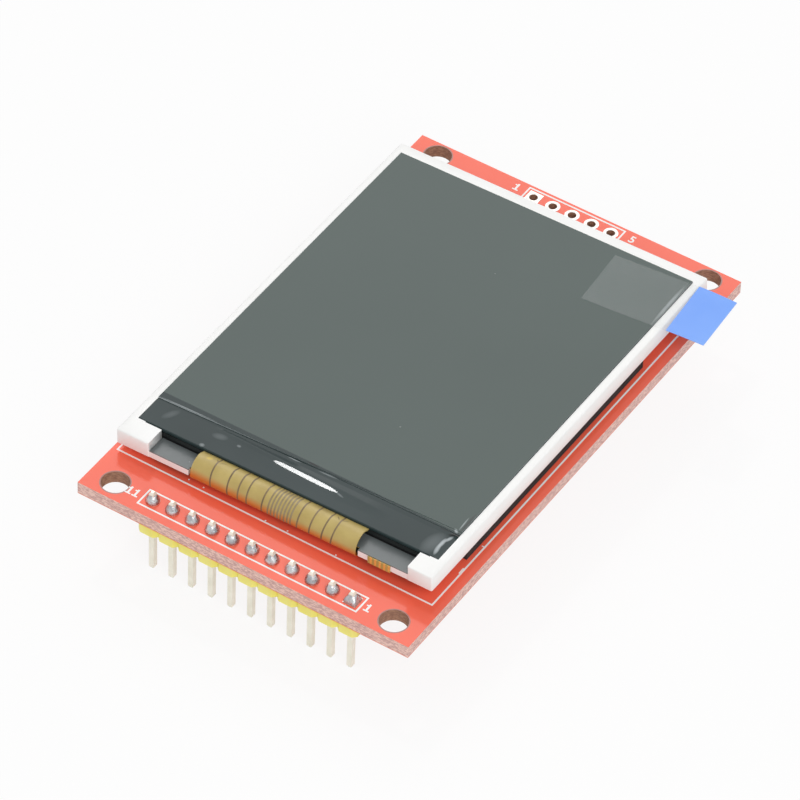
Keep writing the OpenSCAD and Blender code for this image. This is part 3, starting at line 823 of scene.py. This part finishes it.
black_border = 1.2 * mm
film_plastic = finish("white_film", (0.88, 0.89, 0.90), (0.93, 0.94, 0.95), (0.4, 0.5), patch=200)
for name in ("reflector_sheet", "diffuser_sheet", "lower_prism_sheet", "upper_prism_sheet"):
    dress(nodes[name], film_plastic)
tree, skin, film_colour = opened(film_plastic)
spot = axes_of(tree, "Object")
bordered = work_out(tree, "LESS_THAN", spot["Y"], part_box("upper_prism_sheet")[0].y + black_border)
tree.links.new(blended(tree, bordered, film_colour, (0.012, 0.012, 0.013)), skin.inputs["Base Color"])
guide_plastic = finish("guide_plastic", (0.80, 0.86, 0.88), (0.86, 0.91, 0.92), (0.05, 0.1), patch=100)
dress(nodes["light_guide"], guide_plastic)
diode_case = finish("diode_case", (0.80, 0.72, 0.36), (0.88, 0.80, 0.44), (0.4, 0.5), patch=900)
for i in range(1, 5):
    dress(nodes[f"led_{i}"], diode_case)
tape_film = finish(
    "light_bar_tape", (0.105, 0.120, 0.121), (0.150, 0.168, 0.170), (0.28, 0.36), patch=120, grain=250,
    relief=0.05, dust=0.6,
)
dress(nodes["led_tape"], tape_film)

conductor_pitch = 0.56 * mm
polyimide = finish("polyimide", (0.42, 0.31, 0.085), (0.52, 0.40, 0.12), (0.2, 0.3), patch=400, relief=0.01)
dress(nodes["led_flex"], polyimide)
tree, skin, film_colour = opened(polyimide)
wave = work_out(tree, "MULTIPLY", axes_of(tree, "Object")["X"], 2 * math.pi / conductor_pitch)
striped = work_out(tree, "GREATER_THAN", work_out(tree, "SINE", wave), 0.1)
tree.links.new(blended(tree, striped, film_colour, (0.80, 0.42, 0.10)), skin.inputs["Base Color"])


# The glass cell: two panes with a black border, sealed to each other, with the rear polarizer and the
# driver chip on the rear pane. The front polarizer is dressed with the film on it, further down.
dark_edge = finish("cell_edge", (0.012, 0.014, 0.014), (0.022, 0.025, 0.025), (0.1, 0.2), patch=300)
for name in ("rim_tape", "tft_glass", "colour_filter_glass", "driver_ic", "rear_polarizer"):
    dress(nodes[name], dark_edge)


# The display flex: amber film that folds from the glass down over the light bar and back to the board,
# with painted shade that makes it redder where it turns under. Its copper tracks are strips of it that stand
# proud by a hair.
red_start = 3.85 * mm
red_end = 3.0 * mm
track_proud = 0.006 * mm
flex_film = finish(
    "flex_film", (0.45, 0.335, 0.105), (0.55, 0.425, 0.145), (0.4, 0.5), patch=400, relief=0.004
)
tree, skin, film_colour = opened(flex_film)
# Painted shade: from red_start down to red_end the flex is painted redder, for the shade where it turns under
# away from the light.
shaded_low_down = carried(tree, axes_of(tree, "Object")["Z"], start=(red_start, red_end))
tree.links.new(blended(tree, shaded_low_down, film_colour, (0.62, 0.19, 0.03)), skin.inputs["Base Color"])
copper_track = finish("copper_track", (0.17, 0.12, 0.06), (0.25, 0.18, 0.09), (0.4, 0.5), patch=700)
fine_track = finish("fine_track", (0.26, 0.20, 0.10), (0.32, 0.25, 0.14), (0.4, 0.5), patch=700)

flex = smoothed(reworked("display_flex"), 50)
keep(flex, "amber_flex", flex_film)
stand_in("display_flex", flex_film)


def track(x, width, lean=0.0):
    """A strip of the flex from edge to edge, a hair thicker than it; lean is its drift along x."""
    strip = reworked("display_flex")
    turn = math.atan(lean)
    for edge, side in ((x - width / 2, 1), (x + width / 2, -1)):
        begin_edit(strip)
        bpy.ops.mesh.bisect(
            plane_co=on_panel @ Vector((edge, -26 * mm, 0)),
            plane_no=(side * math.cos(turn), 0, side * math.sin(turn)),
            use_fill=True, clear_inner=True,
        )
        end_edit()
    raised = [vertex.co + vertex.normal * track_proud for vertex in strip.data.vertices]
    for vertex, place in zip(strip.data.vertices, raised):
        vertex.co = place
    return strip


wide_tracks = (
    (-8.0, 0.12), (-5.85, 0.10), (-4.5, 0.08), (-3.4, 0.05), (-1.47, 0.03),
    (3.0, -0.03), (4.55, -0.05), (6.1, -0.07), (7.3, -0.09),
)
tracks = [track(x * mm, 0.18 * mm, lean) for x, lean in wide_tracks]
keep(smoothed(joined("tracks", tracks), 50), "flex_tracks", copper_track)
tracks = [track((-0.7 + 0.41 * i) * mm, 0.2 * mm) for i in range(8)]
keep(smoothed(joined("tracks", tracks), 50), "flex_fine_tracks", fine_track)
dress(nodes["flex_solder"], solder)


# The cover tape: a dark, slightly glossy film over the driver chip and the flex's bond. It rides up
# over the chip in a low ridge, and its right end is creased down at the glass's corner.
cover = finish(
    "cover_tape", (0.020, 0.035, 0.036), (0.027, 0.045, 0.046), (0.06, 0.09),
    patch=120, dust=0.8, Specular_IOR_Level=0.21,
)
mark_group = bpy.data.node_groups.new("soft_mark", "ShaderNodeTree")
for name in ("X", "Y", "Half Length", "Half Width", "Turn"):
    mark_group.interface.new_socket(name, in_out="INPUT", socket_type="NodeSocketFloat")
mark_group.interface.new_socket("Mask", in_out="OUTPUT", socket_type="NodeSocketFloat")
given = add(mark_group, "NodeGroupInput")
result = add(mark_group, "NodeGroupOutput")
spot = axes_of(mark_group, "Object")
from_x = work_out(mark_group, "SUBTRACT", spot["X"], given.outputs["X"])
from_y = work_out(mark_group, "SUBTRACT", spot["Y"], given.outputs["Y"])
cosine = work_out(mark_group, "COSINE", given.outputs["Turn"])
sine = work_out(mark_group, "SINE", given.outputs["Turn"])
x_cosine = work_out(mark_group, "MULTIPLY", from_x, cosine)
x_sine = work_out(mark_group, "MULTIPLY", from_x, sine)
y_cosine = work_out(mark_group, "MULTIPLY", from_y, cosine)
y_sine = work_out(mark_group, "MULTIPLY", from_y, sine)
lengthwise = work_out(mark_group, "ADD", x_cosine, y_sine)
crosswise = work_out(mark_group, "SUBTRACT", y_cosine, x_sine)
reach = work_out(mark_group, "DIVIDE", lengthwise, given.outputs["Half Length"])
breadth = work_out(mark_group, "DIVIDE", crosswise, given.outputs["Half Width"])
square_reach = work_out(mark_group, "MULTIPLY", reach, reach)
square_breadth = work_out(mark_group, "MULTIPLY", breadth, breadth)
fade = work_out(mark_group, "SUBTRACT", 1.0, work_out(mark_group, "ADD", square_reach, square_breadth))
mark_group.links.new(work_out(mark_group, "MAXIMUM", fade, 0.0), result.inputs["Mask"])


def marked(material, marks):
    """Adds soft marks of colour, some of them painted highlights and shadows: x, y, half length, half width,
    turn in degrees, strength and colour.
    """
    tree, skin, colour = opened(material)
    for x, y, half_length, half_width, turn, strength, shade in marks:
        at = on_panel @ Vector((x * mm, y * mm, 2.1 * mm))
        mark = add(tree, "ShaderNodeGroup", node_tree=mark_group)
        mark.inputs["X"].default_value = at.x
        mark.inputs["Y"].default_value = at.y
        mark.inputs["Half Length"].default_value = half_length * mm
        mark.inputs["Half Width"].default_value = half_width * mm
        mark.inputs["Turn"].default_value = math.radians(turn)
        amount = work_out(tree, "MULTIPLY", mark.outputs["Mask"], strength)
        colour = blended(tree, amount, colour, shade)
    tree.links.new(colour, skin.inputs["Base Color"])


pale = (0.55, 0.60, 0.62)
black = (0.004, 0.005, 0.005)
# Painted light and shade at the creased right end: the three pale marks near x 18 are a painted highlight
# crescent on the crease, the broad faint one beside them a painted glow, and the two black ones a painted
# shadow in the gap under the film's corner.
marked(cover, [
    (-1.67, -21.02, 0.95, 0.09, 0, 0.4, pale), (2.6, -20.95, 1.3, 0.13, 2, 0.3, pale),
    (-11.1, -24.6, 0.35, 0.3, 0, 0.35, pale), (-7.7, -22.6, 0.3, 0.2, 0, 0.30, pale),
    (-10.2, -22.5, 1.0, 0.5, 10, 0.12, pale), (18.12, -23.7, 0.95, 0.28, 99, 0.7, pale),
    (18.08, -22.7, 0.9, 0.26, 90, 0.8, pale), (18.35, -21.8, 0.7, 0.22, 72, 0.7, pale),
    (17.3, -23.2, 1.9, 1.1, 80, 0.14, pale), (18.3, -21.15, 0.45, 0.2, 20, 0.9, black),
    (17.3, -20.95, 0.8, 0.12, 6, 0.5, black), (5.2, -22.75, 0.7, 0.15, -15, 0.25, pale),
    (-16.5, -22.6, 1.2, 0.5, 60, 0.1, pale),
])

brown = (0.16, 0.10, 0.04)
# The pale gold spot is a gold pad brightened with a painted highlight.
marked(flex_film, [
    (-8.35, -25.6, 0.5, 0.09, 125, 0.8, brown), (-7.6, -25.6, 0.5, 0.09, 40, 0.8, brown),
    (7.0, -25.55, 0.5, 0.09, 130, 0.8, brown), (7.85, -25.55, 0.5, 0.09, 35, 0.8, brown),
    (-9.3, -25.75, 0.45, 0.3, 20, 0.55, (0.85, 0.62, 0.10)),
    (4.9, -25.3, 1.6, 0.3, 0, 0.35, (0.30, 0.22, 0.10)),
    (0.9, -25.45, 2.0, 0.35, 0, 0.35, (0.34, 0.27, 0.16)),
])

tape_front = -24.95 * mm
tape_back = -20.8 * mm
tape_half = 19.05 * mm
tape_level = 2.04 * mm
tape_floor = 1.7 * mm
chip_y = -22.9 * mm
chip_half = 0.7 * mm
chip_clear = 1.86 * mm
crease_start = 17.2 * mm
crease_length = 1.85 * mm
crease_depth = 0.16 * mm
ridge_front_foot = -23.5 * mm
ridge_middle = -22.47 * mm
ridge_back_foot = -21.4 * mm
ridge_drift = 0.03
ridge_height = 0.1 * mm
crest_near = 0.45 * mm
crest_far = 0.57 * mm
ridge_end = 11.5 * mm
ridge_fade = 3 * mm
bulge_x = 0.7 * mm
bulge_reach = 4.1 * mm
facet_half = 0.235 * mm
facet_slope = math.tan(math.radians(10.5))


def ridge_rows(x):
    """Where the ridge's lines run at x, and how high, from its foot at the front to its foot at the back."""
    reach = 1 - ((x - bulge_x) / bulge_reach) ** 4
    half = facet_half * math.sqrt(max(reach, 0.01))
    middle = ridge_middle - ridge_drift * (x - bulge_x)
    rise = 2 * half * (facet_slope if reach > 0 else facet_slope / 2)
    rest = (ridge_height - rise) / 2
    return [
        (ridge_front_foot, 0.0), (middle - half, rest), (middle + half, rest + rise),
        (middle + crest_near, ridge_height), (middle + crest_far, ridge_height * 0.96),
        (ridge_back_foot, 0.02 * mm),
    ]


def tape_rows(x):
    """The tape's whole section at x: the ridge fades out towards both ends."""
    fade = min(1.0, max(0.0, (ridge_end - abs(x)) / ridge_fade))
    rows = [(tape_front, -0.07 * mm), (-24.84 * mm, 0.0), (-24.2 * mm, 0.0)]
    rows += [(y, z * fade) for y, z in ridge_rows(x)]
    return rows + [(-21.1 * mm, 0.03 * mm), (tape_back, 0.05 * mm)]


def thick_grid(columns, rows):
    """A unit square of columns and rows with a bottom at 0 and a top at 1, to be laid out as a sheet."""
    bpy.ops.object.select_all(action="DESELECT")
    bpy.ops.mesh.primitive_grid_add(x_subdivisions=columns, y_subdivisions=rows, size=1)
    sheet = bpy.context.object
    begin_edit(sheet)
    bpy.ops.mesh.extrude_region_move(TRANSFORM_OT_translate={"value": (0, 0, 1)})
    end_edit()
    return sheet


tape_columns = 320
last_row = len(tape_rows(0)) - 1
sheet = thick_grid(tape_columns, last_row)
for vertex in sheet.data.vertices:
    x = vertex.co.x * 2 * tape_half
    row = round((vertex.co.y + 0.5) * last_row)
    y, rise = tape_rows(x)[row]
    creased = max(0.0, x - crease_start) / crease_length
    if vertex.co.z > 0.5:
        z = tape_level + rise - crease_depth * creased ** 2
    elif abs(y - chip_y) < chip_half:
        z = chip_clear
    else:
        z = tape_floor
    vertex.co = (x, y, z)
sheet.matrix_world = on_panel
begin_edit(sheet)
face_outwards()
keep(smoothed(sheet, 2.5), "cover_tape_sheet", cover)
stand_in("cover_tape", cover)


# The protective film: a thin film on the front polarizer, cut a little askew, in the dark tone of the
# screen under it. A clear tape near one corner ends in a blue pull tab, which hangs past the frame.
screen_film = finish(
    "screen_film", (0.028, 0.055, 0.047), (0.034, 0.063, 0.054), (0.10, 0.16), patch=40, dust=0.12
)
skew = 0.009
film_over_tape = -19.925 * mm
tree, skin, film_colour = opened(screen_film)
spot = axes_of(tree, "Object")
askew = work_out(tree, "ADD", spot["Y"], work_out(tree, "MULTIPLY", spot["X"], skew))
over_tape = work_out(tree, "LESS_THAN", askew, film_over_tape)
tree.links.new(blended(tree, over_tape, film_colour, (0.024, 0.040, 0.041)), skin.inputs["Base Color"])
tree.links.new(carried(tree, over_tape, end=(0.38, 0.21)), skin.inputs["Specular IOR Level"])
# Painted light and shade on the film: the two pale streaks along the right edge are painted highlights on the
# glass edge, the small pale mark at the front right corner a painted glint, the black mark in the middle of
# the front edge a painted shadow under the lifted edge, and the long pale line at the front left a painted
# highlight along the edge.
marked(screen_film, [
    (18.8, 21.4, 3.9, 0.26, 91, 0.45, pale), (18.56, -19.27, 1.2, 0.10, 93, 0.5, pale),
    (18.43, -20.54, 0.4, 0.2, -39, 0.6, pale), (18.87, -19.0, 1.9, 0.2, 92, 0.8, black),
    (0.52, -20.6, 0.95, 0.15, 0, 0.9, black), (-15.5, -21.06, 4.0, 0.09, 1.3, 0.45, pale),
])
tree, skin, film_colour = opened(screen_film)
# The film's upright cut edges are a light grey, and a painted highlight makes them paler towards the left.
highlight_leftwards = carried(tree, spot["X"], start=(-4 * mm, -16 * mm))
edge_colour_and_highlight = blended(tree, highlight_leftwards, (0.16, 0.19, 0.19), (0.52, 0.57, 0.58))
tree.links.new(blended(tree, is_wall(tree), film_colour, edge_colour_and_highlight), skin.inputs["Base Color"])
dress(nodes["front_polarizer"], screen_film)

film_low = 2.17 * mm
film_high = 2.22 * mm
film_back = 26.1 * mm
film_slant = 0.022
drape_low = 2.055 * mm
film_rows = 10
sheet = thick_grid(8, film_rows)
for vertex in sheet.data.vertices:
    x = vertex.co.x * 2 * tape_half
    row = round((vertex.co.y + 0.5) * film_rows)
    front_edge = tape_back + film_slant * x
    draped = row == 0 and front_edge < tape_back
    if row == 0:
        y = front_edge
    elif row == 1:
        y = max(front_edge, tape_back) + 0.02 * mm
    else:
        y = tape_back + (film_back - tape_back) * row / film_rows
    low = drape_low if draped else film_low
    vertex.co = (x, y, film_high if vertex.co.z > 0.5 else low)
sheet.matrix_world = on_panel
begin_edit(sheet)
face_outwards()
keep(sheet, "screen_film_sheet", screen_film)
stand_in("protective_film", screen_film)

clear_tape = finish("clear_tape", (0.70, 0.74, 0.74), (0.80, 0.84, 0.84), (0.21, 0.23), patch=100, Alpha=0.06)
tab_blue = finish("tab_blue", (0.13, 0.33, 0.93), (0.20, 0.42, 0.98), (0.3, 0.4), patch=90)
tab_turn = math.radians(4)
tab_width = 8 * mm
tab_reach = 14.99 * mm
tab_blue_reach = 4.6 * mm
tab_thickness = 0.06 * mm
tab_gap = 0.004 * mm
hang_start = 10.0 * mm
hang_length = 5.0 * mm
hang_depth = 0.30 * mm
tab_corner = Matrix.Translation((10.35 * mm, 17.0 * mm, film_high))
tab_place = on_panel @ tab_corner @ Matrix.Rotation(tab_turn, 4, "Z")


def tab_strip(name, start, level, material, node_name):
    """A strip of tape from start to the tab's end; past the frame's edge it hangs in a shallow curve."""
    strip = thick_grid(30, 12)
    for vertex in strip.data.vertices:
        u = start + (vertex.co.x + 0.5) * (tab_reach - start)
        v = (vertex.co.y + 0.5) * tab_width
        past = max(0.0, u - hang_start) / hang_length
        droop = hang_depth * past ** 2 * (0.35 + 0.65 * v / tab_width)
        vertex.co = (u, v, level - droop + (tab_thickness if vertex.co.z > 0.5 else 0))
    strip.matrix_world = tab_place
    begin_edit(strip)
    face_outwards()
    keep(smoothed(strip, 30), name, material)
    stand_in(node_name, material)


tab_strip("clear_tape_strip", 0.0, tab_gap, clear_tape, "tab_tape")
tab_strip("blue_tab", tab_reach - tab_blue_reach, tab_thickness + tab_gap, tab_blue, "pull_tab")
